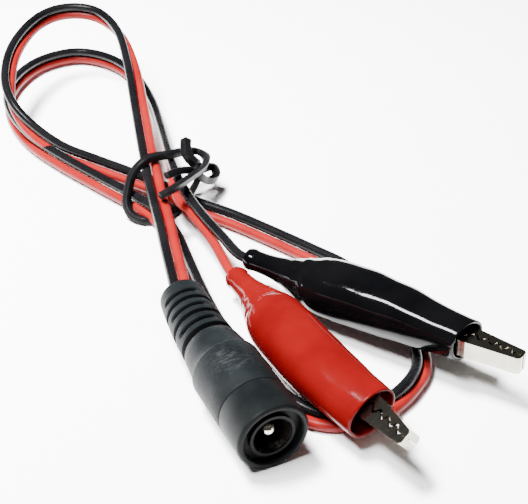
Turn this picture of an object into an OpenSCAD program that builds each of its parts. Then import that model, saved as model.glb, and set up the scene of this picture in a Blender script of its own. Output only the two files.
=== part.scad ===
// Test lead: a moulded DC power socket on a twin red and black cord that
// splits into two insulated alligator clips.  Millimetres, +Z up, the table
// is z = 0.  The socket lies along Y with its mouth towards -Y.

/* [Socket] */
// Outside diameter of the moulded body
body_d = 11; // [10.6:0.1:12]
// Length from the mouth to the end of the strain relief
socket_len = 36; // [34:0.5:40]
// Length of the separate hard front ring
ring_len = 6.7; // [5:0.1:8]
// Diameter of the hole that takes the plug
plug_hole_d = 6; // [5.7:0.1:6.2]
// Diameter of the centre pin
pin_d = 2; // [1.9:0.05:2.1]
// How far the pin's tip stands back from the mouth
pin_setback = 1.2; // [0.6:0.1:2]
// Depth of the plug hole
plug_hole_depth = 9.5; // [9:0.1:10]

/* [Cord] */
// Diameter of each insulated conductor
wire_d = 1.8; // [1.4:0.1:1.8]
// Diameter of the stranded copper inside
copper_d = 0.9; // [0.6:0.1:1]

/* [Clips] */
// Length of each insulating boot
boot_len = 42; // [41:0.5:43]
// Wall thickness of the boots
boot_wall = 0.5; // [0.45:0.05:0.6]
// Overall length from the boot's neck to the jaw tips
clip_len = 50.5; // [50:0.5:52]
// Diameter of the rivet that the jaws turn on
rivet_d = 1.5; // [1.3:0.1:1.6]
// Thickness of the stamped steel
sheet = 0.4; // [0.3:0.05:0.45]

/* [Tie] */
// Diameter of the plastic-covered tie wire
tie_d = 1.4; // [1:0.1:1.6]

/* [Hidden] */
$fn = 48;

// Placing: the socket's mouth centre, then each clip's neck, heading, nose-up angle and the
// roll of its metal, which lifts the far side
mouth = [-17.5, -15.6, body_d / 2];
RED = [[-6.8, 24.25, 3.65], -84.6, 4.2, 40];
BLACK = [[-1.8, 25.9, 5.8], -63, 2.3, 0];
to_origin = [0.6, -0.1, 0];   // puts the middle of the socket and clips on the Z axis
red_cant = -3.5;      // each boot's turn against its metal
black_cant = 1.5;
cant_x = 24;          // and where it turns

// ---- Cord route ----
// Middle of the twin cord and its roll: the angle, about the direction of
// travel, from level right-hand side to the red conductor.
strain_bend = 8;
strain_start = 22;
strain_end_xy = bend_point(socket_len);
route = [
    // from the strain relief up over the crossing at the tie
    [strain_end_xy.x, strain_end_xy.y, 5.5, 0], [-15.3, 25, 5.6, 0], [-14.2, 29.5, 5.8, 0],
    [-13, 34.5, 6.1, 0], [-11.6, 40, 6.3, 0],
    [-10, 47, 6.5, 0], [-7.8, 56, 6.8, 0], [-5.2, 66, 7.8, -5],
    // round the raised loop
    [-2, 78, 9.6, -12], [1.6, 92, 12, -30], [3.5, 104, 14, -60], [2.2, 113, 15, -85],
    [-1.8, 117, 15.5, -90], [-7.4, 118, 15.2, -95], [-13.2, 114.5, 14.5, -105],
    [-19, 107.5, 13, -125], [-22.6, 100, 10.6, -128], [-23.6, 94, 7.8, -100],
    // back through the tie and away to the right
    [-21.9, 88, 4.8, -70], [-18.5, 79.5, 3.3, -60], [-14, 72, 3, -60], [-9.5, 64.5, 2.9, -60],
    [-5.8, 58, 2.7, -60], [-2, 50.3, 2.3, -58], [2.5, 43.6, 2, -56], [6.7, 35.4, 1.9, -56],
    [10.5, 27.2, 1.9, -60], [13.6, 20, 1.9, -80], [15.5, 11, 1.7, -130],
    // the big loop under both boots
    [15.2, 2, 1.35, -152], [12.4, -6.2, 1.4, -148], [7.4, -10.8, 1.8, -125],
    [2.2, -12.7, 1.3, -155], [-2.6, -12.9, 1, -175], [-7, -11.2, 1.15, -165],
    [-10.3, -7, 1.5, -140], [-11.6, -1, 1.8, -105],
    // beside the socket, back through the tie
    [-12, 7, 1.9, -80], [-11.9, 15.5, 1.9, -70], [-11, 24.7, 1.9, -70], [-9.8, 33.5, 1.9, -75],
    [-8.9, 41.5, 1.9, -90], [-9.3, 49, 2, -110], [-11, 56, 2, -122], [-15, 66.3, 2, -124],
    [-19.2, 77.5, 2, -124], [-22.2, 88, 2, -112],
    // the loop that lies on the table
    [-23, 99, 2.2, -95], [-21, 109, 2.2, -80], [-16.2, 117, 2.2, -75],
    [-9.2, 122.5, 2.2, -85], [-1, 123, 2.2, -90], [4.8, 116.5, 2.2, -90],
    [6.8, 105.5, 2.3, -90], [5.3, 91, 2.8, -90], [1.7, 76, 4, -90], [-1.6, 63.5, 5.4, -90],
    [-4, 54.5, 5.8, -60]];
// Where the two conductors part, each runs on alone to its clip
black_tail = [[-4, 47.5, 5.9], [-4, 40.5, 5.8], [-3.7, 33.5, 5.8]];
red_tail = [[-5.2, 49, 4.4], [-4.7, 44, 4.1], [-4.6, 36, 3.9]];

function bend_point(s) =
    let(r = (socket_len - strain_start) / (strain_bend * PI / 180),
        a = max(0, s - strain_start) / r * 180 / PI)
    [mouth.x + r * (1 - cos(a)), mouth.y + min(s, strain_start) + r * sin(a)];
function bend_angle(s) =
    strain_bend * max(0, s - strain_start) / (socket_len - strain_start);

function unit(v) = v / norm(v);
function xyz(p) = [p[0], p[1], p[2]];
function along(p, i) = unit(xyz(p[min(i + 1, len(p) - 1)]) - xyz(p[max(i - 1, 0)]));
function right_of(t) = unit(cross(t, [0, 0, 1]));
function above(t) = cross(right_of(t), t);
function side_of(p, i) =
    let(t = along(p, i)) cos(p[i][3]) * right_of(t) + sin(p[i][3]) * above(t);

// One more point between each two, on a Catmull-Rom curve
function midpoint(p, i) = (-p[max(i - 1, 0)] + 9 * p[i] + 9 * p[i + 1]
    - p[min(i + 2, len(p) - 1)]) / 16;
function refine(p) = [for (i = [0 : len(p) - 1], k = [0, 1])
    if (k == 0) p[i] else if (i < len(p) - 1) midpoint(p, i)];

// A point in a clip's own frame, x from its neck and y to its far side
function clip_point(clip, x, y = 0) =
    let(h = clip[1], p = clip[2])
    clip[0] + x * [cos(h) * cos(p), sin(h) * cos(p), sin(p)] + y * [-sin(h), cos(h), 0];

// How far over a canted boot's middle line lies from its metal's, x from the neck
function in_neck(x, cant) = (x - cant_x) * sin(cant);
// The same as across and up in the rolled metal's own frame
function in_crimp(clip, cant) = in_neck(crimp_x, cant) * [cos(clip[3]), -sin(clip[3])];

half_pair = wire_d / 2 + 0.01;
wire_end = 6.4;   // how far into the boot the insulation runs
twin = [for (i = [0 : len(route) - 1]) let(s = side_of(route, i))
    [xyz(route[i]) - half_pair * s, xyz(route[i]) + half_pair * s]];
black_path = concat([for (p = twin) p[0]], black_tail,
    [for (x = [-2, 2, wire_end]) clip_point(BLACK, x, in_neck(x, black_cant))]);
red_path = concat([for (p = twin) p[1]], red_tail,
    [for (x = [-2, 2, wire_end]) clip_point(RED, x, in_neck(x, red_cant))]);

// Middle of the twist tie, once round the crossing with a tail at each end
tie_path = [[-10, 46.4, 8.5], [-6.8, 47.2, 9.1], [-2.5, 50.6, 8.3], [1.8, 54.9, 7.1],
    [4.2, 59.1, 6.5], [3.8, 61.7, 6.5], [1.6, 61.8, 7.2], [-2.8, 59.8, 8.5], [-6.6, 59.3, 9],
    [-8.9, 59, 8.4], [-10.8, 58.8, 6.6], [-12.2, 57.6, 4.4], [-13.2, 56.1, 2.4],
    [-13, 53.8, 1.1], [-11, 51.4, 0.8], [-7, 51.4, 0.8], [-3, 54, 0.8], [-0.2, 56.6, 1.2],
    [1.6, 57.6, 2.8], [2.2, 57.4, 4.6], [1.6, 56.4, 6.4], [0.4, 56, 8], [-0.4, 57, 9.2],
    [0, 58.8, 9.9], [0.8, 60.6, 10.4]];

// A plain tube swept along points
module tube(p, r, sides = 8) {
    rings = [for (i = [0 : len(p) - 1]) let(t = along(p, i), x = right_of(t), y = above(t))
        for (k = [0 : sides - 1]) let(a = (k + 0.5) * 360 / sides)
            xyz(p[i]) + r * (cos(a) * x + sin(a) * y)];
    n = len(p);
    walls = [for (i = [0 : n - 2], k = [0 : sides - 1]) let(m = (k + 1) % sides)
        [i * sides + k, i * sides + m, (i + 1) * sides + m, (i + 1) * sides + k]];
    start = [for (k = [sides - 1 : -1 : 0]) k];
    finish = [for (k = [0 : sides - 1]) (n - 1) * sides + k];
    polyhedron(rings, concat([start], walls, [finish]), convexity = 10);
}

// ---- Socket, drawn with its mouth at z = 0 and its cord end up ----
insert_r = 4.6;
sleeve_r = 3.45;
insert_len = 12.4;
groove_depth = 1.3;
shoulder_z = 16.5;
relief_r = [4.45, 3.7];
rib_pitch = 2.8;
rib_len = 1.9;
ribs = 5;
core_step = 0.9;      // how far the core between the ribs stands below them
cavity_r = 3.9;       // room for the solder joints
solder_x = 2.6;       // where the sleeve contact is soldered

module in_socket() { translate(mouth) rotate([-90, 0, 0]) children(); }

module on_bend(s) {
    p = bend_point(s);
    translate([p.x, p.y, mouth.z]) rotate([-90, 0, -bend_angle(s)]) children();
}

module socket_overmould() color([0.12, 0.12, 0.13]) {
    in_socket() difference() {
        rotate_extrude() polygon([[0, ring_len], [body_d / 2, ring_len], [body_d / 2, shoulder_z],
            [5.1, shoulder_z], [4.5, 21.1], [relief_r[0], strain_start], [0, strain_start]]);
        translate([0, 0, ring_len - 1]) cylinder(r = insert_r, h = insert_len + 1.4 - ring_len);
        translate([0, 0, insert_len]) cylinder(r = cavity_r, h = 5.6);
    }
    // flexible ribs that follow the bend, each standing on a thinner core
    for (i = [0 : ribs - 1]) let(s = strain_start + rib_pitch * i,
            r = relief_r[0] + (relief_r[1] - relief_r[0]) * i / (ribs - 1)) {
        on_bend(s + 1.35) translate([0, 0, -rib_len / 2]) cylinder(r = r, h = rib_len);
        on_bend(s + 0.2) translate([0, 0, -1.1]) cylinder(r = r - core_step, h = 2.2);
    }
    on_bend(socket_len) translate([0, 0, -1]) cylinder(r = relief_r[1] - 0.25, h = 1);
}

module socket_front_ring() color([0.1, 0.1, 0.11]) in_socket() difference() {
    cylinder(r = body_d / 2, h = ring_len);
    translate([0, 0, -1]) cylinder(r = insert_r, h = ring_len + 2);
}

module socket_insulator() color([0.06, 0.06, 0.06]) in_socket() difference() {
    union() {
        translate([0, 0, 0.45]) cylinder(r = sleeve_r, h = 2);
        translate([0, 0, groove_depth]) cylinder(r = insert_r - 0.02, h = insert_len - groove_depth);
    }
    translate([0, 0, -1]) cylinder(d = plug_hole_d, h = plug_hole_depth + 1);
    translate([0, 0, plug_hole_depth - 1]) cylinder(r = 0.62, h = 8);
    translate([2.7, -1, 2.4]) cube([1.2, 2, 12]);
}

module centre_pin() color([0.8, 0.8, 0.78]) in_socket() {
    translate([0, 0, pin_setback + pin_d / 2]) {
        sphere(d = pin_d);
        cylinder(d = pin_d, h = plug_hole_depth - pin_setback - pin_d / 2);
    }
    translate([0, 0, plug_hole_depth - 0.5]) cylinder(r = 0.6, h = 5.4);
}

module sleeve_contact() color([0.85, 0.78, 0.55]) in_socket() {
    translate([3.35, -0.8, 2.6]) cube([0.3, 1.6, 12]);
    translate([2.85, -0.8, 5]) cube([0.65, 1.6, 2.2]);
}

module solder_joints() color([0.7, 0.7, 0.72]) in_socket() {
    translate([0, 0, 15.2]) sphere(r = 0.8);
    translate([solder_x, 0, 14.4]) sphere(r = 0.8);
}

module socket_copper_ends() color([0.8, 0.5, 0.3]) in_socket()
    for (x = [0, solder_x]) translate([x, 0, 15.9]) cylinder(d = copper_d, h = 2);

module cord_black() color([0.1, 0.1, 0.1]) tube(black_path, wire_d / 2);
module cord_red() color([0.85, 0.2, 0.15]) tube(red_path, wire_d / 2);
module twist_tie() color([0.08, 0.08, 0.08]) tube(refine(tie_path), tie_d / 2);

// ---- Clips, drawn with the neck at the origin and the jaws along +X ----
pivot_x = 33;
crimp_x = 9;
bore_r = 1.05;        // of a boot's neck, round the insulation
// Boot sections: distance from the neck, half width, half height, offset to the far side
red_sections = [[0, 1.95, 1.9, 0], [0.8, 2.1, 2.05, 0], [2, 2, 1.95, 0], [5, 2.3, 2.2, 0],
    [8, 2.95, 2.8, -0.1], [10.2, 3.5, 3.3, -0.2], [12.5, 4.15, 3.85, -0.3],
    [15, 4.8, 4.4, -0.5], [19, 5.05, 4.7, -0.65], [26, 5.05, 4.75, -0.7],
    [31, 4.95, 4.6, -0.55], [36, 4.65, 4, -0.1], [boot_len, 4.3, 2.95, 0.65]];
black_sections = [[0, 1.7, 1.7, 0], [0.8, 1.9, 1.85, 0], [2, 1.8, 1.75, 0], [5, 1.95, 1.9, 0],
    [8, 2.5, 2.4, 0], [11.7, 3.8, 3.55, 0], [14, 4.6, 4.3, 0.05], [16.5, 5.15, 4.7, 0.15],
    [20, 5.3, 4.85, 0.35], [25, 5.1, 4.75, 0.4], [31, 4.45, 4.3, 0.2], [36.5, 3.75, 3.6, -0.15],
    [boot_len - 1, 3.45, 3.15, -0.3]];
lean_x = 30;          // where a boot starts to change into its mouth
red_sag = 0.42;       // how far the red boot's mouth hangs below its middle line

module at_neck(clip) {
    translate(clip[0]) rotate([0, -clip[2], clip[1]]) children();
}
module in_clip(clip) at_neck(clip) rotate([clip[3], 0, 0]) children();

// Closed shell between two lofts that share an open front rim and an open neck.
// Towards the mouth it leans by slant per mm to the far side, turns by roll and sags.
module boot(sections, slant, roll, sag) {
    sides = 24;
    bore = [for (x = [0, wire_end - 0.8, wire_end + 0.2]) [x, bore_r, bore_r, 0]];
    inner = concat(bore, [for (s = sections) if (s[0] > wire_end + 1)
        [s[0], s[1] - boot_wall, s[2] - boot_wall, s[3]]]);
    loops = concat(sections, [for (i = [len(inner) - 1 : -1 : 0]) inner[i]]);
    n = len(loops);
    rings = [for (s = loops, k = [0 : sides - 1])
        let(a = k * 360 / sides, y = s[1] * cos(a), z = s[2] * sin(a),
            lean = max(0, (s[0] - lean_x) / (boot_len - lean_x)), turn = roll * lean)
        [s[0] + slant * lean * y, s[3] + y * cos(turn) - z * sin(turn),
            y * sin(turn) + z * cos(turn) - sag * lean]];
    walls = [for (i = [0 : n - 1], k = [0 : sides - 1])
        let(j = (i + 1) % n, m = (k + 1) % sides)
        [i * sides + k, j * sides + k, j * sides + m, i * sides + m]];
    polyhedron(rings, walls, convexity = 10);
}

module canted(cant) translate([cant_x, 0, 0]) rotate([0, 0, cant])
    translate([-cant_x, 0, 0]) children();

module boot_red() color([0.8, 0.12, 0.1]) at_neck(RED) canted(red_cant)
    boot(red_sections, 0, RED[3], red_sag);
module boot_black() color([0.07, 0.07, 0.07]) at_neck(BLACK)
    canted(black_cant) boot(black_sections, 0.25, BLACK[3], 0);

// Teeth: one wave, shared by both jaws with a gap between
tooth_start = 41.4;
tooth_pitch = 1.9;
tooth_h = 0.9;
tooth_root = -0.5;
teeth = 4;
tooth_gap = 0.45;
wave_steps = 8;
wave = [for (i = [0 : wave_steps * teeth])
    [tooth_start + i * tooth_pitch / wave_steps,
        tooth_root + tooth_h * (1 - cos(i * 360 / wave_steps)) / 2]];

jaw_w = 2.8;          // width of the jaws' channel
ear_gap = 0.15;       // side clearance between the two pairs of ears
ear_w = jaw_w + 2 * (ear_gap + sheet);
hole_d = rivet_d + 0.1;

module plates(w) {
    for (z = [-w / 2, w / 2 - sheet]) translate([0, 0, z]) linear_extrude(sheet) children();
}
module web(w) translate([0, 0, -w / 2]) linear_extrude(w) children();

// The fixed jaw, on the near side: a toothed channel, wider ears and a tail to the crimp
fixed_back = [[clip_len, -0.85], [clip_len - 0.4, -1.25], [42, -2.1], [35.2, -2.15]];
module fixed_jaw_front() {
    plates(jaw_w) polygon(concat(wave, [[clip_len - 1.2, -0.15], [clip_len, -0.15]],
        fixed_back, [[35.2, -1.2], [38, -0.5]]));
    web(jaw_w) polygon(concat([[clip_len, -0.15]], fixed_back,
        [[35.2, -1.75], [42, -1.7], [clip_len - 0.6, -0.85], [clip_len - 0.4, -0.15]]));
}
module fixed_jaw_ears() {
    difference() {
        plates(ear_w) union() {
            polygon([[35.8, -0.9], [35.8, -2.13], [30, -2.45], [26, -3.05], [22, -3.4], [16, -3.4],
                [16, -2.8], [27, -1.9], [31.5, 0], [33, 1.6], [35, 0.8]]);
            translate([pivot_x, 0]) circle(r = 1.8);
        }
        translate([pivot_x, 0, -5]) cylinder(d = hole_d, h = 10);
    }
    web(ear_w) polygon([[35.8, -1.73], [35.8, -2.13], [30, -2.45], [26, -3.05], [22, -3.4],
        [16, -3.4], [16, -3], [22, -3], [26, -2.65], [30, -2.05]]);
    // joggle from the wide ears down to the narrow jaw
    for (m = [0, 1]) mirror([0, 0, m]) translate([35.2, -2, jaw_w / 2 - sheet])
        cube([0.6, 1, (ear_w - jaw_w) / 2 + sheet - 0.05]);
}
// The tail bends over to the crimp, which sits in line with the neck, at shift across and up
module crimp_tail(shift) translate([0, 0, shift[1]]) {
    side = shift[0];
    web(2.2) polygon([[16.4, -3.4], [16.4, -3], [14.6, -3], [11.4, side - 1.05],
        [9.6, side - 1.05], [9.6, side - 1.4], [11.2, side - 1.45], [14.4, -3.4]]);
    translate([7.8, side, 0]) rotate([0, 90, 0]) difference() {
        cylinder(r = 1.15, h = 2.8);
        translate([0, 0, -1]) cylinder(r = 0.75, h = 6);
        translate([-0.15, 0, -1]) cube([0.3, 3, 6]);
    }
}
module fixed_jaw(clip, cant) color([0.8, 0.8, 0.78]) in_clip(clip) {
    fixed_jaw_front();
    fixed_jaw_ears();
    crimp_tail(in_crimp(clip, cant));
}

// The moving jaw, on the far side, turns on the rivet
moving_back = [[clip_len, 0.85], [clip_len - 0.4, 1.25], [42, 2.1], [38, 2.25], [33, 2.5],
    [27, 3], [21, 3.4], [18, 3.3]];
moving_back_inner = [[18, 2.9], [21, 3], [27, 2.6], [33, 2.1], [38, 1.85], [42, 1.7],
    [clip_len - 0.6, 0.85], [clip_len - 0.4, 0.15]];
module moving_jaw(clip) color([0.8, 0.8, 0.78]) in_clip(clip) {
    difference() {
        plates(jaw_w) union() {
            polygon(concat([for (p = wave) p + [0, tooth_gap]], [[clip_len - 1.2, 0.15],
                [clip_len, 0.15]], moving_back, [[19.5, 2.6], [27, 2], [31.4, 1.2], [34.8, 0.9],
                [38, 0.1], [41, -0.2]]));
            translate([pivot_x, 0]) circle(r = 1.6);
        }
        translate([pivot_x, 0, -5]) cylinder(d = hole_d, h = 10);
    }
    web(jaw_w) polygon(concat([[clip_len, 0.15]], moving_back, moving_back_inner));
}

module rivet(clip) color([0.75, 0.75, 0.74]) in_clip(clip) translate([pivot_x, 0, 0]) {
    translate([0, 0, -ear_w / 2]) cylinder(d = rivet_d, h = ear_w);
    for (m = [0, 1]) mirror([0, 0, m]) translate([0, 0, ear_w / 2]) cylinder(d = 2.6, h = 0.35);
}

spring_r = [0.85, 1.3];
spring_leg = 8.6;
spring_wire_d = 0.45;
module spring(clip) color([0.7, 0.7, 0.7]) in_clip(clip) translate([pivot_x, 0, 0]) {
    difference() {
        translate([0, 0, -0.95]) cylinder(r = spring_r[1], h = 1.9);
        translate([0, 0, -2]) cylinder(r = spring_r[0], h = 4);
    }
    for (side = [-1, 1]) translate([0, side * 1.05, side * 0.6]) rotate([0, 0, side * -10.5])
        rotate([0, -90, 0]) cylinder(d = spring_wire_d, h = spring_leg);
}

module copper_end(clip, cant) color([0.8, 0.5, 0.3]) at_neck(clip)
    translate([wire_end, in_neck(crimp_x, cant), 0]) rotate([0, 90, 0]) cylinder(d = copper_d, h = 4.4);

translate(to_origin) {
    socket_overmould();
    socket_front_ring();
    socket_insulator();
    centre_pin();
    sleeve_contact();
    solder_joints();
    socket_copper_ends();
    cord_black();
    cord_red();
    twist_tie();
    boot_red();  // red_boot
    fixed_jaw(RED, red_cant);  // red_fixed_jaw
    moving_jaw(RED);  // red_moving_jaw
    rivet(RED);  // red_rivet
    spring(RED);  // red_spring
    copper_end(RED, red_cant);  // red_copper_end
    boot_black();  // black_boot
    fixed_jaw(BLACK, black_cant);  // black_fixed_jaw
    moving_jaw(BLACK);  // black_moving_jaw
    rivet(BLACK);  // black_rivet
    spring(BLACK);  // black_spring
    copper_end(BLACK, black_cant);  // black_copper_end
}
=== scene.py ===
"""Looks of the test lead: a DC power socket on a twin cord that ends in two alligator clips.

Lengths are millimetres until they meet Blender, where MM turns them into metres. Only the
lights and the floor are placed in metres.
"""

import math

import bmesh
import bpy
from mathutils import Matrix, Vector, noise


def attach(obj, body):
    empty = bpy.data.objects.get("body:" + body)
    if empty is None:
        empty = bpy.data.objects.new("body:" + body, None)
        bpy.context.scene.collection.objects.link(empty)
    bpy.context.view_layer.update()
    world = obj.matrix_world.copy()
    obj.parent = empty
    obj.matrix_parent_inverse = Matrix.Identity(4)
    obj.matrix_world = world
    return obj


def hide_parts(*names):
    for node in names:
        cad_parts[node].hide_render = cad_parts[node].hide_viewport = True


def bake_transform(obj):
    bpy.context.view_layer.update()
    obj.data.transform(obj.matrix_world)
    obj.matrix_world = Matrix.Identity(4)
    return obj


MM = 0.001
TO_ORIGIN = Vector((0.6, -0.1, 0))  # puts the middle of the socket and clips on the Z axis
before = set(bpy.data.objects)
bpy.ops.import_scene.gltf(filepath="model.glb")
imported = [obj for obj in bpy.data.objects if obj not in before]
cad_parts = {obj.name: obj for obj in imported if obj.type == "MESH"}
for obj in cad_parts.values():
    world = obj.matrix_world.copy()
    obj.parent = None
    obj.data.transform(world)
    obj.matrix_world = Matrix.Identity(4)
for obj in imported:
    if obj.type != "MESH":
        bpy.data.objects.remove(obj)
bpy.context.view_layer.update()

# ---- Camera ----
CAMERA_AT = (-71.5, -126.0, 119.0)
CAMERA_TILT = 56.1
CAMERA_TURN = -25.4
CAMERA_LENS = 81.8

# ---- Lights and floor, in metres ----
LIGHTS_AIM = (-0.002, 0.03, 0)
# Each light's place, size and power in watts
KEY_LIGHT = ((-0.20, 0.0, 0.38), (0.16, 0.07), 5.0)
BACK_LIGHT = ((-0.10, 0.14, 0.38), (0.12, 0.09), 16.0)
SKY_STRENGTH = 0.08
FLOOR_HALF = 1.5

# ---- Sizes shared with the CAD part ----
# The socket: its axis is level, and distances along it run from the mouth
BODY_R = 5.5
MOUTH = Vector((-17.5, -15.6, BODY_R))
RING_BORE = 4.6
RING_LEN = 6.64
RELIEF_START = 22.0
RELIEF_END = 36.0
RELIEF_BEND = 8.0
# The cord: each conductor ends this far inside its boot
WIRE_D = 1.8
WIRE_END = 6.4
# The clips: distances along a clip run from its boot's neck
BOOT_LEN = 42.0
BOOT_WALL = 0.5
LEAN_X = 30.0
PIVOT_X = 33.0
SPRING_R = 1.05
SPRING_WIRE_D = 0.42
SPRING_TURNS = 2.5
SPRING_LEG = 8.4
SPRING_HALF_HEIGHT = 0.6
SPRING_SPREAD = 10.5

# A clip's neck, heading, nose-up angle and the roll of its metal, which lifts the far side
RED_CLIP = (Vector((-6.8, 24.25, 3.65)), -84.6, 4.2, 40.0)
BLACK_CLIP = (Vector((-1.8, 25.9, 5.8)), -63.0, 2.3, 0.0)
# Each boot's turn against its metal, and where it turns
RED_CANT = -3.5
BLACK_CANT = 1.5
CANT_X = 24.0

# The middle of the twin cord, and its roll: the angle about the direction of
# travel from the level right-hand side to the red conductor.
ROUTE = [
    # from the strain relief up over the crossing at the tie
    (-16.5, 20.3, 5.5, 0), (-15.3, 25, 5.6, 0), (-14.2, 29.5, 5.8, 0), (-13, 34.5, 6.1, 0),
    (-11.6, 40, 6.3, 0), (-10, 47, 6.5, 0), (-7.8, 56, 6.8, 0), (-5.2, 66, 7.8, -5),
    # round the raised loop
    (-2, 78, 9.6, -12), (1.6, 92, 12, -30), (3.5, 104, 14, -60), (2.2, 113, 15, -85),
    (-1.8, 117, 15.5, -90), (-7.4, 118, 15.2, -95), (-13.2, 114.5, 14.5, -105),
    (-19, 107.5, 13, -125), (-22.6, 100, 10.6, -128), (-23.6, 94, 7.8, -100),
    # back through the tie and away to the right
    (-21.9, 88, 4.8, -70), (-18.5, 79.5, 3.3, -60), (-14, 72, 3, -60), (-9.5, 64.5, 2.9, -60),
    (-5.8, 58, 2.7, -60), (-2, 50.3, 2.3, -58), (2.5, 43.6, 2, -56), (6.7, 35.4, 1.9, -56),
    (10.5, 27.2, 1.9, -60), (13.6, 20, 1.9, -80), (15.5, 11, 1.7, -130),
    # the big loop under both boots
    (15.2, 2, 1.35, -152), (12.4, -6.2, 1.4, -148), (7.4, -10.8, 1.8, -125),
    (2.2, -12.7, 1.3, -155), (-2.6, -12.9, 1, -175), (-7, -11.2, 1.15, -165),
    (-10.3, -7, 1.5, -140), (-11.6, -1, 1.8, -105),
    # beside the socket, back through the tie
    (-12, 7, 1.9, -80), (-11.9, 15.5, 1.9, -70), (-11, 24.7, 1.9, -70), (-9.8, 33.5, 1.9, -75),
    (-8.9, 41.5, 1.9, -90), (-9.3, 49, 2, -110), (-11, 56, 2, -122), (-15, 66.3, 2, -124),
    (-19.2, 77.5, 2, -124), (-22.2, 88, 2, -112),
    # the loop that lies on the table
    (-23, 99, 2.2, -95), (-21, 109, 2.2, -80), (-16.2, 117, 2.2, -75), (-9.2, 122.5, 2.2, -85),
    (-1, 123, 2.2, -90), (4.8, 116.5, 2.2, -90), (6.8, 105.5, 2.3, -90), (5.3, 91, 2.8, -90),
    (1.7, 76, 4, -90), (-1.6, 63.5, 5.4, -90), (-4, 54.5, 5.8, -60)]
BLACK_TAIL = [(-4, 47.5, 5.9), (-4, 40.5, 5.8), (-3.7, 33.5, 5.8)]
RED_TAIL = [(-5.2, 49, 4.4), (-4.7, 44, 4.1), (-4.6, 36, 3.9)]

# Boot sections: distance from the neck, half width, half height, offset to the far side
RED_SECTIONS = [
    (0, 1.95, 1.9, 0), (0.8, 2.1, 2.05, 0), (2, 1.98, 1.93, 0), (5, 2.3, 2.2, 0),
    (8, 2.95, 2.8, -0.1), (10.2, 3.5, 3.3, -0.2), (12.5, 4.15, 3.85, -0.3),
    (15, 4.75, 4.4, -0.5), (19, 5, 4.65, -0.65), (26, 5, 4.7, -0.7), (31, 4.9, 4.55, -0.55),
    (36, 4.6, 3.95, -0.1), (BOOT_LEN, 4.3, 2.95, 0.65)]
BLACK_SECTIONS = [
    (0, 1.7, 1.7, 0), (0.8, 1.92, 1.87, 0), (2, 1.8, 1.75, 0), (5, 1.95, 1.9, 0),
    (8, 2.5, 2.4, 0), (11.7, 3.75, 3.5, 0), (14, 4.5, 4.2, 0.05), (16.5, 5, 4.55, 0.15),
    (20, 5.15, 4.7, 0.35), (25, 4.95, 4.6, 0.4), (31, 4.4, 4.2, 0.2), (36.5, 3.7, 3.55, -0.15),
    (BOOT_LEN - 1, 3.45, 3.15, -0.3)]

# ---- Detail that is finer here than in the CAD part ----
# Each boot's skin: its mouth's turn and sag, how square its section is, the slant of its mouth,
# where its noise starts, the heights of its dents, creases and seam, and the seam's angle
RED_LOOK = {"roll": RED_CLIP[3], "sag": 0.42, "square": 2.15, "slant": 0.0, "seed": (3, 1, 7),
            "dent": 0.1, "crease": 0.2, "seam": 215, "ridge": 0.015}
BLACK_LOOK = {"roll": BLACK_CLIP[3], "sag": 0.0, "square": 2.2, "slant": 0.25, "seed": (9, 4, 2),
              "dent": 0.12, "crease": 0.3, "seam": 210, "ridge": 0.06}
DENTS_PER_MM = 0.28
CREASES_PER_MM = 0.9
CREASE_X = 11
CREASE_REACH = 3.5
SEAM_WIDTH = 3.0

# The strain relief: its radius, how much it tapers, and its grooves
RELIEF_R = 4.45
RELIEF_TAPER = 0.75
RELIEF_STEP = 0.1
GROOVE_START = 22.4
GROOVE_PITCH = 2.05
GROOVE_HALF = 0.36
GROOVE_EDGE = 0.04
GROOVE_DEPTH = 1.05
GROOVES_END = 34.2
# Every other groove is cut into two slots, turned from the vertical
SLOT_TURN = 20
SLOT_REACH = 0.72
SLOT_EDGE = 0.025
END_ROUND = 0.4
END_DROP = 0.25

# Pale scratches on top of the socket's body: middle, reach and colour
SCUFF = ((-18.6, -2.8, 10.8), 4.2, (0.018, 0.0185, 0.0195))

# The twist tie: once round the crossing, a flat tail that stands up from it, and a loose knot
TIE = [(-10, 46.4, 8.5), (-6.8, 47.2, 9.1), (-2.5, 50.6, 8.3), (1.8, 54.9, 7.1),
       (4.2, 59.1, 6.5), (3.8, 61.7, 6.5), (1.6, 61.8, 7.2), (-2.8, 59.8, 8.5), (-6.6, 59.3, 9),
       (-8.9, 59, 8.4), (-10.8, 58.8, 6.6), (-12.2, 57.6, 4.4), (-13.2, 56.1, 2.4),
       (-13, 53.8, 1.1), (-11, 51.4, 0.8), (-7, 51.4, 0.8), (-3, 54, 0.8), (-0.2, 56.6, 1.2),
       (1.6, 57.6, 2.8), (2.2, 57.4, 4.6), (1.6, 56.4, 6.4), (0.4, 56, 8)]
TIE_TAIL = [(1.2, 56.2, 7.2), (0.4, 56, 8), (-0.4, 57, 9.2), (0, 58.8, 9.9), (0.8, 60.6, 10.4)]
TIE_CENTRE = Vector((-5, 55, 4.2))
TIE_KNOT = [(1.6, 57.4, 4.4), (3.4, 58.8, 4.4), (5.4, 58.6, 4.4), (5.2, 56.8, 3.7),
            (3.6, 55.2, 3.8), (1.8, 54.2, 4.8), (0.4, 53.4, 6.6), (-1.3, 53.6, 7.9),
            (-3.8, 53.2, 8.6), (-6.4, 52.4, 8.7)]


# ---- Helpers ----
def metres(point):
    """A point in the design's millimetres as metres in the row frame."""
    return (Vector(point) + TO_ORIGIN) * MM


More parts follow.
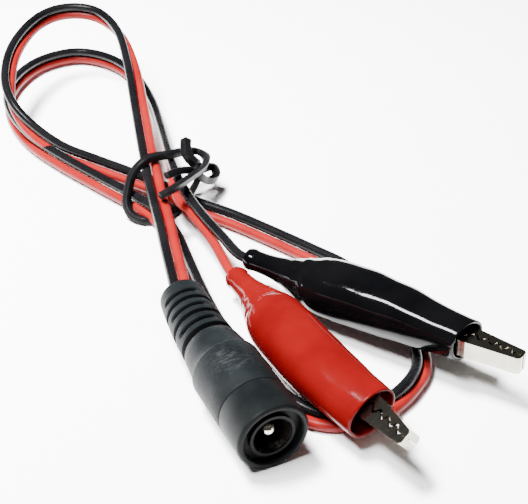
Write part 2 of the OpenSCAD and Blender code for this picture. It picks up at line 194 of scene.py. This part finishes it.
def catmull(points, steps):
    """Points on a Catmull-Rom curve through rows of numbers, steps to each stretch."""
    rows = [Vector(p) for p in points]
    out = []
    for i in range(len(rows) - 1):
        a, b, c, d = rows[max(i - 1, 0)], rows[i], rows[i + 1], rows[min(i + 2, len(rows) - 1)]
        for k in range(steps):
            t = k / steps
            out.append(0.5 * (2 * b + (c - a) * t + (2 * a - 5 * b + 4 * c - d) * t * t
                              + (3 * b - a - 3 * c + d) * t ** 3))
    out.append(rows[-1])
    return out


def link(name, data):
    """A new object in the scene that shows the data."""
    obj = bpy.data.objects.new(name, data)
    bpy.context.scene.collection.objects.link(obj)
    return obj


def grid_mesh(name, rings, loop_ends=False):
    """A smooth mesh from rings of points in millimetres, each ring closed on itself."""
    sides, count = len(rings[0]), len(rings)
    verts = [tuple(metres(p)) for ring in rings for p in ring]
    faces = []
    for i in range(count if loop_ends else count - 1):
        j = (i + 1) % count
        for k in range(sides):
            m = (k + 1) % sides
            faces.append((i * sides + k, i * sides + m, j * sides + m, j * sides + k))
    if not loop_ends:
        faces.append(tuple(reversed(range(sides))))
        faces.append(tuple((count - 1) * sides + k for k in range(sides)))
    data = bpy.data.meshes.new(name)
    data.from_pydata(verts, [], faces)
    return tidy_mesh(link(name, data))


def tidy_mesh(obj, sharp=40):
    """Outward faces and smooth shading that breaks at sharp edges."""
    shape = bmesh.new()
    shape.from_mesh(obj.data)
    bmesh.ops.recalc_face_normals(shape, faces=shape.faces)
    for face in shape.faces:
        face.smooth = True
    for edge in shape.edges:
        edge.smooth = len(edge.link_faces) == 2 and edge.calc_face_angle(0) < math.radians(sharp)
    shape.to_mesh(obj.data)
    shape.free()
    return obj


def revolve(name, profile, place, sides=96):
    """A closed profile of (radius, distance) turned about the socket's axis."""
    rings = []
    for k in range(sides):
        a = 2 * math.pi * k / sides
        rings.append([place @ Vector((r * math.cos(a), r * math.sin(a), z)) for r, z in profile])
    return grid_mesh(name, rings, loop_ends=True)


def arc(centre, radius, start, end, steps=5):
    """Points of a rounded corner, angles in degrees."""
    points = []
    for k in range(steps + 1):
        a = math.radians(start + (end - start) * k / steps)
        points.append((centre[0] + radius * math.cos(a), centre[1] + radius * math.sin(a)))
    return points


def superellipse(angle, power):
    """A point on a unit outline: a circle at power 2, and squarer above it."""
    c, s = math.cos(angle), math.sin(angle)
    return (math.copysign(abs(c) ** (2 / power), c), math.copysign(abs(s) ** (2 / power), s))


def finish_piece(obj, body, material, slot, *nodes):
    """Give a piece its material, the body it rides and the nodes it replaces; the slot is not
    used.
    """
    obj.data.materials.clear()
    obj.data.materials.append(material)
    if body:
        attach(obj, body)
    if nodes:
        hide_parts(*nodes)
    return obj


# ---- Materials ----
def new_material(name):
    """A material with its node tree, its shader and the object's own coordinates."""
    material = bpy.data.materials.new(name)
    material.use_nodes = True
    tree = material.node_tree
    shader = tree.nodes["Principled BSDF"]
    where = tree.nodes.new("ShaderNodeTexCoord")
    return material, tree, shader, where.outputs["Object"]


def noise_node(tree, where, per_mm, detail=4, stretch=None):
    """Noise with about per_mm features to a millimetre, drawn out by stretch."""
    mapping = tree.nodes.new("ShaderNodeMapping")
    mapping.inputs["Scale"].default_value = stretch or (1, 1, 1)
    tree.links.new(where, mapping.inputs["Vector"])
    texture = tree.nodes.new("ShaderNodeTexNoise")
    texture.inputs["Scale"].default_value = per_mm / MM
    texture.inputs["Detail"].default_value = detail
    tree.links.new(mapping.outputs["Vector"], texture.inputs["Vector"])
    return texture.outputs["Fac"]


def ramp_node(tree, factor, stops):
    """A colour from a factor, through stops of (position, colour)."""
    ramp = tree.nodes.new("ShaderNodeValToRGB")
    while len(ramp.color_ramp.elements) < len(stops):
        ramp.color_ramp.elements.new(0.5)
    for element, (position, colour) in zip(ramp.color_ramp.elements, stops):
        element.position = position
        element.color = (*colour, 1)
    tree.links.new(factor, ramp.inputs["Fac"])
    return ramp.outputs["Color"]


def range_node(tree, factor, low, high):
    """A number from low to high over the middle of a noise's range."""
    spread = tree.nodes.new("ShaderNodeMapRange")
    spread.inputs["From Min"].default_value = 0.35
    spread.inputs["From Max"].default_value = 0.65
    spread.inputs["To Min"].default_value = low
    spread.inputs["To Max"].default_value = high
    tree.links.new(factor, spread.inputs["Value"])
    return spread.outputs["Result"]


def bump_node(tree, height, strength, depth_mm, normal=None):
    """A bumped normal, on top of another one if it is given."""
    bump = tree.nodes.new("ShaderNodeBump")
    bump.inputs["Strength"].default_value = strength
    bump.inputs["Distance"].default_value = depth_mm * MM
    tree.links.new(height, bump.inputs["Height"])
    if normal is not None:
        tree.links.new(normal, bump.inputs["Normal"])
    return bump.outputs["Normal"]


def scuffed(tree, where, colour, centre, reach, pale):
    """The colour with fine pale scratches inside a round patch, centre and reach in mm."""
    patch = tree.nodes.new("ShaderNodeMapping")
    patch.inputs["Scale"].default_value = (1 / (reach * MM),) * 3
    patch.inputs["Location"].default_value = tuple(-c / (reach * MM) for c in metres(centre))
    tree.links.new(where, patch.inputs["Vector"])
    near = tree.nodes.new("ShaderNodeTexGradient")
    near.gradient_type = "SPHERICAL"
    tree.links.new(patch.outputs["Vector"], near.inputs["Vector"])
    scratches = noise_node(tree, where, 2.6, 8, (0.3, 1.0, 1.0))
    marks = tree.nodes.new("ShaderNodeMath")
    marks.operation = "MULTIPLY"
    tree.links.new(ramp_node(tree, scratches, [(0.48, (0, 0, 0)), (0.7, (1, 1, 1))]),
                   marks.inputs[0])
    tree.links.new(near.outputs["Fac"], marks.inputs[1])
    blend = tree.nodes.new("ShaderNodeMix")
    blend.data_type = "RGBA"
    tree.links.new(marks.outputs["Value"], blend.inputs["Factor"])
    tree.links.new(colour, blend.inputs["A"])
    blend.inputs["B"].default_value = (*pale, 1)
    return blend.outputs["Result"]


def surface(name, dark, light, rough, blotch, grain, depth, metallic=0.0, coat=0.0,
            stretch=None, wave=None, specular=0.5, scuff=None):
    """One moulded, drawn or stamped surface: blotch and grain are features to a millimetre."""
    material, tree, shader, where = new_material(name)
    patches = noise_node(tree, where, blotch, 5)
    colour = ramp_node(tree, patches, [(0.32, dark), (0.68, light)])
    if scuff:
        colour = scuffed(tree, where, colour, *scuff)
    tree.links.new(colour, shader.inputs["Base Color"])
    fine = noise_node(tree, where, grain, 6, stretch)
    tree.links.new(range_node(tree, fine, rough[0], rough[1]), shader.inputs["Roughness"])
    normal = bump_node(tree, fine, 0.5, depth)
    if wave:
        normal = bump_node(tree, noise_node(tree, where, wave[0], 2), 0.6, wave[1], normal)
    tree.links.new(normal, shader.inputs["Normal"])
    shader.inputs["Metallic"].default_value = metallic
    shader.inputs["Specular IOR Level"].default_value = specular
    shader.inputs["Coat Weight"].default_value = coat
    shader.inputs["Coat Roughness"].default_value = 0.06
    return material


def make_materials():
    """Every material, by the name that the pieces ask for."""
    return {
        "black_pvc": surface("moulded black rubber", (0.0024, 0.003, 0.0034),
                             (0.0046, 0.0057, 0.0062), (0.45, 0.65), 0.25, 6, 0.02,
                             specular=0.09, wave=(0.6, 0.05), scuff=SCUFF),
        "black_plastic": surface("hard black plastic", (0.0011, 0.0011, 0.0014),
                                 (0.0022, 0.0022, 0.0026), (0.35, 0.5), 0.4, 8, 0.01,
                                 specular=0.05),
        "ring": surface("black front ring", (0.002, 0.0025, 0.0027), (0.0036, 0.0043, 0.0045),
                        (0.42, 0.54), 0.3, 9, 0.012, specular=0.065),
        "nickel": surface("nickel pin", (0.62, 0.58, 0.5), (0.85, 0.8, 0.72), (0.12, 0.25),
                          0.8, 12, 0.005, metallic=1.0),
        # The sleeve's near-black colour is painted shade: it stands for the shade deep inside the
        # plug hole.
        "sleeve": surface("shade-painted contact sleeve", (0.006, 0.0055, 0.0045), (0.015, 0.0135, 0.011),
                          (0.25, 0.4), 0.8, 12, 0.005, metallic=0.7, specular=0.3),
        "nickel_sheet": surface("nickel-plated sheet", (0.3, 0.285, 0.235), (0.46, 0.44, 0.37),
                                (0.15, 0.19), 0.2, 5, 0.0003, metallic=1.0,
                                stretch=(0.3, 1.0, 1.0), wave=(0.12, 0.006)),
        "brass_spring": surface("brass contact", (0.6, 0.42, 0.16), (0.8, 0.62, 0.3),
                                (0.2, 0.35), 0.5, 8, 0.01, metallic=1.0),
        "solder": surface("solder", (0.5, 0.5, 0.52), (0.7, 0.7, 0.72), (0.2, 0.45), 1.2, 4,
                          0.03, metallic=1.0),
        "copper": surface("bare copper strands", (0.6, 0.26, 0.12), (0.85, 0.45, 0.25),
                          (0.25, 0.4), 1.0, 5, 0.05, metallic=1.0, stretch=(1, 0.1, 1)),
        "black_wire": surface("black wire jacket", (0.0018, 0.0018, 0.0022),
                              (0.0036, 0.0036, 0.004), (0.22, 0.32), 0.15, 4, 0.012,
                              specular=0.12),
        "red_wire": surface("red wire jacket", (0.11, 0.0034, 0.0034), (0.15, 0.0065, 0.006),
                            (0.3, 0.45), 0.12, 4, 0.012, specular=0.15),
        "tie_plastic": surface("twist tie plastic", (0.0016, 0.0016, 0.002),
                               (0.0036, 0.0036, 0.004), (0.3, 0.5), 0.5, 5, 0.04,
                               specular=0.12),
        "red_boot": surface("glossy red PVC", (0.057, 0.0013, 0.0014), (0.082, 0.0024, 0.0024),
                            (0.08, 0.16), 0.1, 3, 0.008, coat=0.01, specular=0.08,
                            wave=(0.22, 0.12)),
        "black_boot": surface("glossy black PVC", (0.0006, 0.0006, 0.0008),
                              (0.0014, 0.0014, 0.0016), (0.05, 0.11), 0.12, 3, 0.006,
                              coat=0.03, specular=0.2, wave=(0.2, 0.1)),
        "spring_steel": surface("spring steel", (0.35, 0.35, 0.36), (0.55, 0.55, 0.56),
                                (0.25, 0.4), 0.8, 10, 0.01, metallic=1.0),
    }


# ---- Cords ----
def direction(points, i):
    """The way a line of points runs at its point i."""
    return (points[min(i + 1, len(points) - 1)] - points[max(i - 1, 0)]).normalized()


def conductors():
    """The black and the red conductor where they run side by side."""
    middle = [Vector(p[:3]) for p in ROUTE]
    gap = WIRE_D / 2 + 0.01
    black, red = [], []
    for i, point in enumerate(middle):
        ahead = direction(middle, i)
        right = ahead.cross(Vector((0, 0, 1))).normalized()
        above = right.cross(ahead)
        roll = math.radians(ROUTE[i][3])
        side = math.cos(roll) * right + math.sin(roll) * above
        black.append(point - gap * side)
        red.append(point + gap * side)
    return black, red


def clip_frame(clip):
    """A clip's frame: X runs from its boot's neck to its tips, and Y to its far side."""
    neck, heading, nose_up, _ = clip
    return (Matrix.Translation(neck) @ Matrix.Rotation(math.radians(heading), 4, "Z")
            @ Matrix.Rotation(math.radians(-nose_up), 4, "Y"))


def into_neck(clip, cant):
    """Where a conductor runs into its boot, along the middle of the neck."""
    place = clip_frame(clip)
    lean = math.sin(math.radians(cant))
    return [place @ Vector((x, (x - CANT_X) * lean, 0)) for x in (-2, 2, WIRE_END)]


def round_curve(name, points, radius):
    """A round wire along points in millimetres."""
    data = bpy.data.curves.new(name, "CURVE")
    data.dimensions = "3D"
    data.bevel_depth = radius * MM
    data.bevel_resolution = 4
    data.use_fill_caps = True
    line = data.splines.new("POLY")
    line.points.add(len(points) - 1)
    for at, point in zip(line.points, points):
        at.co = (*metres(point), 1)
    line.use_smooth = True
    return link(name, data)


def lay_cord(name, points, material, slot, node):
    fine = catmull(points, 6)
    cord = finish_piece(round_curve(name, fine, WIRE_D / 2), "lead", material, slot, node)
    return cord


def make_cords(paint):
    """Both conductors, from the strain relief to the ends inside their boots."""
    black, red = conductors()
    black += [Vector(p) for p in BLACK_TAIL] + into_neck(BLACK_CLIP, BLACK_CANT)
    red += [Vector(p) for p in RED_TAIL] + into_neck(RED_CLIP, RED_CANT)
    lay_cord("black_conductor", black, paint["black_wire"], "black_wire",
             "cord_black")
    lay_cord("red_conductor", red, paint["red_wire"], "red_wire", "cord_red")


# ---- Camera and light ----
def make_camera():
    """The camera that the photo was fitted with."""
    data = bpy.data.cameras.new("camera")
    data.lens = CAMERA_LENS
    data.sensor_width = 36
    data.clip_start = 0.01
    camera = link("camera", data)
    camera.location = metres(CAMERA_AT)
    camera.rotation_euler = (math.radians(CAMERA_TILT), 0, math.radians(CAMERA_TURN))
    bpy.context.scene.camera = camera


def area_light(name, place, size, power):
    """A soft light that is aimed at the middle of the lead."""
    data = bpy.data.lights.new(name, "AREA")
    data.shape = "RECTANGLE"
    data.size, data.size_y = size
    data.energy = power
    light = link(name, data)
    light.location = place
    aim = Vector(LIGHTS_AIM) - Vector(place)
    light.rotation_euler = aim.to_track_quat("-Z", "Y").to_euler()
    return light


def make_floor():
    """A plain pale floor, far larger than the lead."""
    half = FLOOR_HALF
    data = bpy.data.meshes.new("floor")
    data.from_pydata([(-half, -half, 0), (half, -half, 0), (half, half, 0), (-half, half, 0)],
                     [], [(0, 1, 2, 3)])
    floor = link("floor", data)
    material, tree, shader, where = new_material("white sweep")
    tint = ramp_node(tree, noise_node(tree, where, 0.01, 2),
                     [(0.3, (0.9, 0.9, 0.905)), (0.7, (0.93, 0.93, 0.935))])
    tree.links.new(tint, shader.inputs["Base Color"])
    shader.inputs["Roughness"].default_value = 0.9
    shader.inputs["Specular IOR Level"].default_value = 0.1
    data.materials.append(material)
    return floor


def make_studio():
    """A pale floor, a key light that draws the highlights and a back light for the shadows."""
    floor = make_floor()
    key = area_light("key", *KEY_LIGHT)
    back = area_light("back", *BACK_LIGHT)
    back.visible_glossy = False  # it shapes the shadows and leaves no second highlight
    world = bpy.data.worlds.new("studio")
    world.use_nodes = True
    sky = world.node_tree.nodes["Background"]
    sky.inputs["Color"].default_value = (1, 1, 1, 1)
    sky.inputs["Strength"].default_value = SKY_STRENGTH
    bpy.context.scene.world = world


# ---- Socket ----
def bend_frame(s):
    """The frame on the socket's axis s from the mouth, following the relief's bend."""
    radius = (RELIEF_END - RELIEF_START) / math.radians(RELIEF_BEND)
    angle = max(0.0, s - RELIEF_START) / radius
    at = Vector((MOUTH.x + radius * (1 - math.cos(angle)),
                 MOUTH.y + min(s, RELIEF_START) + radius * math.sin(angle), MOUTH.z))
    return (Matrix.Translation(at) @ Matrix.Rotation(-angle, 4, "Z")
            @ Matrix.Rotation(math.radians(-90), 4, "X"))


def make_front_ring(paint):
    """The hard ring round the mouth, with a rounded lip and a bevel where it meets the body."""
    outer, inner = 0.55, 0.25  # the lip's two radii
    lip = (arc((BODY_R - outer, outer), outer, 0, -90, 6)
           + arc((RING_BORE + inner, inner), inner, -90, -180, 4))
    bore = [(RING_BORE, 2), (RING_BORE, RING_LEN)]
    bevel = [(5.36, RING_LEN), (5.46, 6.58), (BODY_R, 6.46), (BODY_R, 3)]
    ring = revolve("socket_front_ring", lip + bore + bevel, bend_frame(0))
    return finish_piece(ring, "lead", paint["ring"], "black_plastic", "socket_front_ring")


def soft_step(x, width):
    """0 well below zero and 1 well above it, with a smooth rise about as wide as width."""
    return 1 / (1 + math.exp(-x / width))


def relief_radius(s, angle):
    """The strain relief's radius: full grooves, with shorter slots between them."""
    along = (s - RELIEF_START) / (RELIEF_END - RELIEF_START)
    k = round((s - GROOVE_START) / GROOVE_PITCH)
    from_middle = abs(s - GROOVE_START - k * GROOVE_PITCH)
    groove = soft_step(GROOVE_HALF - from_middle, GROOVE_EDGE) if s <= GROOVES_END else 0.0
    if k % 2:
        across = abs(math.sin(angle + math.radians(SLOT_TURN)))
        groove *= soft_step(across - SLOT_REACH, SLOT_EDGE)
    into_end = max(0.0, (s - RELIEF_END + END_ROUND) / END_ROUND)
    return RELIEF_R - RELIEF_TAPER * along - GROOVE_DEPTH * groove - END_DROP * into_end ** 2


def socket_ring(s, radius_at, sides=120):
    """Points round the socket's axis, s from the mouth, at the radius for each angle."""
    place = bend_frame(s)
    ring = []
    for k in range(sides):
        a = 2 * math.pi * k / sides
        r = radius_at(a)
        ring.append(place @ Vector((r * math.cos(a), r * math.sin(a), 0)))
    return ring


def make_overmould(paint):
    """The soft body: a bevel against the ring, the shoulder, and the ribbed strain relief."""
    profile = [(4.7, 6.9), (5.34, 6.72), (5.44, 6.78), (BODY_R, 6.92), (BODY_R, 10),
               (BODY_R, 14), (BODY_R, 16.15), (5.44, 16.4), (5.24, 16.58), (5.1, 16.9),
               (4.95, 18), (4.72, 20), (4.5, 21.6)]
    rings = [socket_ring(s, lambda a: r) for r, s in profile]
    for i in range(round((RELIEF_END - RELIEF_START) / RELIEF_STEP) + 1):
        s = RELIEF_START + i * RELIEF_STEP
        rings.append(socket_ring(s, lambda a: relief_radius(s, a)))
    body = grid_mesh("socket_body", rings)
    return finish_piece(body, "lead", paint["black_pvc"], "black_pvc", "socket_overmould")


def make_liner(paint):
    """The thin contact sleeve that lines the plug hole, coloured near black as painted shade
    inside the hole.
    """
    inner, outer, front, back = 2.86, 2.96, 0.75, 9
    profile = [(inner, front), (2.9, 0.7), (outer, front), (outer, back), (inner, back)]
    liner = revolve("plug_hole_liner", profile, bend_frame(0), 72)
    return finish_piece(liner, "lead", paint["sleeve"], "nickel")


# ---- Boots ----
def metal_frame(clip):
    """The frame of a clip's jaws, which may be rolled inside the boot."""
    return clip_frame(clip) @ Matrix.Rotation(math.radians(clip[3]), 4, "X")


def boot_place(clip, cant):
    """A boot's own frame, turned a little against its metal."""
    shift = Matrix.Translation((CANT_X, 0, 0))
    turn = shift @ Matrix.Rotation(math.radians(cant), 4, "Z") @ shift.inverted()
    return clip_frame(clip) @ turn


def boot_point(x, half_w, half_h, offset, angle, look):
    """A point on a boot's skin, in the boot's own frame."""
    fullness = min(1.0, max(0.0, (x - 6) / 10))
    power = 2 + (look["square"] - 2) * fullness
    c, s = superellipse(angle, power)
    lean = max(0.0, (x - LEAN_X) / (BOOT_LEN - LEAN_X))
    y, z = half_w * c, half_h * s
    turn = math.radians(look["roll"] * lean)
    return Vector((x + look["slant"] * lean * y,
                   offset + y * math.cos(turn) - z * math.sin(turn),
                   y * math.sin(turn) + z * math.cos(turn) - look["sag"] * lean))


def rise(p, x, angle, look):
    """How far a boot's skin stands out at a point: dents, creases by the neck, and a seam."""
    seed = Vector(look["seed"])
    crease = math.exp(-((x - CREASE_X) / CREASE_REACH) ** 2) * look["crease"]
    dent = (noise.noise(p * DENTS_PER_MM + seed) * look["dent"]
            + noise.noise(p * CREASES_PER_MM + seed) * crease)
    neck_fade = min(1.0, max(0.15, (x - 3) / 8))
    away = (math.degrees(angle) - look["seam"] + 180) % 360 - 180
    return dent * neck_fade + look["ridge"] * math.exp(-(away / SEAM_WIDTH) ** 2)


def boot_ring(place, section, look, skin, sides=72):
    """One ring of a boot, in the design's frame. Its skin is uneven and its bore is plain."""
    x, half_w, half_h, offset = section
    points = []
    for k in range(sides):
        angle = 2 * math.pi * k / sides
        p = boot_point(x, half_w, half_h, offset, angle, look)
        if skin:
            out = Vector((0, p.y - offset, p.z)).normalized()
            p = p + out * rise(p, x, angle, look)
        points.append(place @ p)
    return points


def lip_sections(section, steps=6):
    """Sections round the lip, from the skin over to the bore."""
    x, half_w, half_h, offset = section
    out = []
    for k in range(steps + 1):
        a = math.pi * k / steps
        inset = BOOT_WALL / 2 * (1 - math.cos(a))
        out.append((x + BOOT_WALL / 2 * math.sin(a), half_w - inset, half_h - inset, offset))
    return out


def make_boot(name, sections, clip, cant, look, material, slot, node):
    """A hollow boot: out along the skin, round the lip and back along the bore to the wire."""
    rows = [tuple(p) for p in catmull(sections, 5)]
    lip = lip_sections(sections[-1])
    skin = rows[:-1] + lip[:3]
    bore = lip[3:] + [(x, w - BOOT_WALL, h - BOOT_WALL, o) for x, w, h, o in reversed(rows[:-2])
                      if x > WIRE_END + 1.2]
    neck_r = WIRE_D / 2 + 0.1
    bore += [(x, neck_r, neck_r, 0) for x in (WIRE_END + 0.2, 4, 1, 0.3)]
    bore.append((0.0, neck_r + 0.25, neck_r + 0.25, 0))
    place = boot_place(clip, cant)
    rings = ([boot_ring(place, section, look, True) for section in skin]
             + [boot_ring(place, section, look, False) for section in bore])
    boot = grid_mesh(name, rings, loop_ends=True)
    finish_piece(boot, None, material, slot, node)
    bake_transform(boot)
    return boot


# ---- Springs ----
def make_spring(colour, clip, paint):
    """A wound torsion spring: the coil and one leg stay, the other leg goes with the jaw."""
    place = metal_frame(clip) @ Matrix.Translation((PIVOT_X, 0, 0))
    top = SPRING_HALF_HEIGHT
    spread = math.radians(SPRING_SPREAD)
    reach = SPRING_LEG * Vector((-math.cos(spread), math.sin(spread), 0))
    steps = int(SPRING_TURNS * 24)
    coil = [Vector((reach.x, -SPRING_R - reach.y, -top))]
    for k in range(steps + 1):
        a = math.radians(-90 + 360 * SPRING_TURNS * k / steps)
        height = top * (2 * k / steps - 1)
        coil.append(Vector((SPRING_R * math.cos(a), SPRING_R * math.sin(a), height)))
    leg = [Vector((0, SPRING_R, top)), Vector((0, SPRING_R, top)) + reach]
    for part, points, body, nodes in (("_spring_coil", coil, "lead", [colour + "_spring"]),
                                      ("_spring_leg", leg, colour + "_jaw", [])):
        piece = round_curve(colour + part, [place @ p for p in points], SPRING_WIRE_D / 2)
        finish_piece(piece, body, paint["spring_steel"], "spring_steel", *nodes)


# ---- Twist tie ----
def ribbon(name, points, width, thick, core, centre):
    """A flat ribbon over a wire core, its face turned away from the bundle's middle."""
    fine = catmull(points, 8)
    outline = []
    sides = 16
    held = 0.6  # how much of each ring's turn is kept from the one before
    for k in range(sides):
        a = 2 * math.pi * k / sides
        flat_x, flat_y = width / 2 * math.cos(a), thick / 2 * math.sin(a)
        hump = core / 2 * math.exp(-(flat_x / (core / 2)) ** 2)
        outline.append((flat_x, flat_y + math.copysign(hump, math.sin(a)) * abs(math.sin(a))))
    rings = []
    across = None
    for i, point in enumerate(fine):
        ahead = direction(fine, i)
        out = point - centre
        out = (out - ahead * out.dot(ahead)).normalized()
        side = ahead.cross(out)
        across = side if across is None else (across * held + side * (1 - held))
        across = (across - ahead * across.dot(ahead)).normalized()
        out = across.cross(ahead)
        rings.append([point + across * u + out * v for u, v in outline])
    return grid_mesh(name, rings)


def make_tie(paint):
    """The twist tie's turn round the bundle, its knot and the end that stands up."""
    tie = ribbon("twist_tie", TIE, 1.5, 0.85, 0.9, TIE_CENTRE)
    finish_piece(tie, "lead", paint["tie_plastic"], "tie_plastic", "twist_tie")
    for name, points, width, thick, centre in (
            ("twist_tie_knot", TIE_KNOT, 1.7, 0.9, (1, 56, 2)),
            ("twist_tie_tail", TIE_TAIL, 2.1, 0.8, (4, 68, 2))):
        piece = ribbon(name, points, width, thick, 0.8, Vector(centre))
        finish_piece(piece, "lead", paint["tie_plastic"], "tie_plastic")


# ---- CAD nodes that show as they are ----
def paint_cad(paint):
    """Give the CAD nodes that no piece replaces their materials."""
    shown = {"socket_insulator": "black_plastic", "centre_pin": "nickel",
             "sleeve_contact": "brass_spring", "solder_joints": "solder",
             "socket_copper_ends": "copper"}
    for colour in ("red", "black"):
        shown[colour + "_fixed_jaw"] = "nickel_sheet"
        shown[colour + "_moving_jaw"] = "nickel_sheet"
        shown[colour + "_rivet"] = "nickel_sheet"
        shown[colour + "_copper_end"] = "copper"
    for node, key in shown.items():
        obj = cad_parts[node]
        obj.data.materials.clear()
        obj.data.materials.append(paint[key])


# ---- Making ----
paint = make_materials()
make_camera()
make_cords(paint)
make_studio()
make_front_ring(paint)
make_overmould(paint)
make_liner(paint)
make_boot("red_boot", RED_SECTIONS, RED_CLIP, RED_CANT, RED_LOOK,
          paint["red_boot"], "red_boot", "red_boot")
make_boot("black_boot", BLACK_SECTIONS, BLACK_CLIP, BLACK_CANT, BLACK_LOOK,
          paint["black_boot"], "black_boot", "black_boot")
make_spring("red", RED_CLIP, paint)
make_spring("black", BLACK_CLIP, paint)
make_tie(paint)
paint_cad(paint)
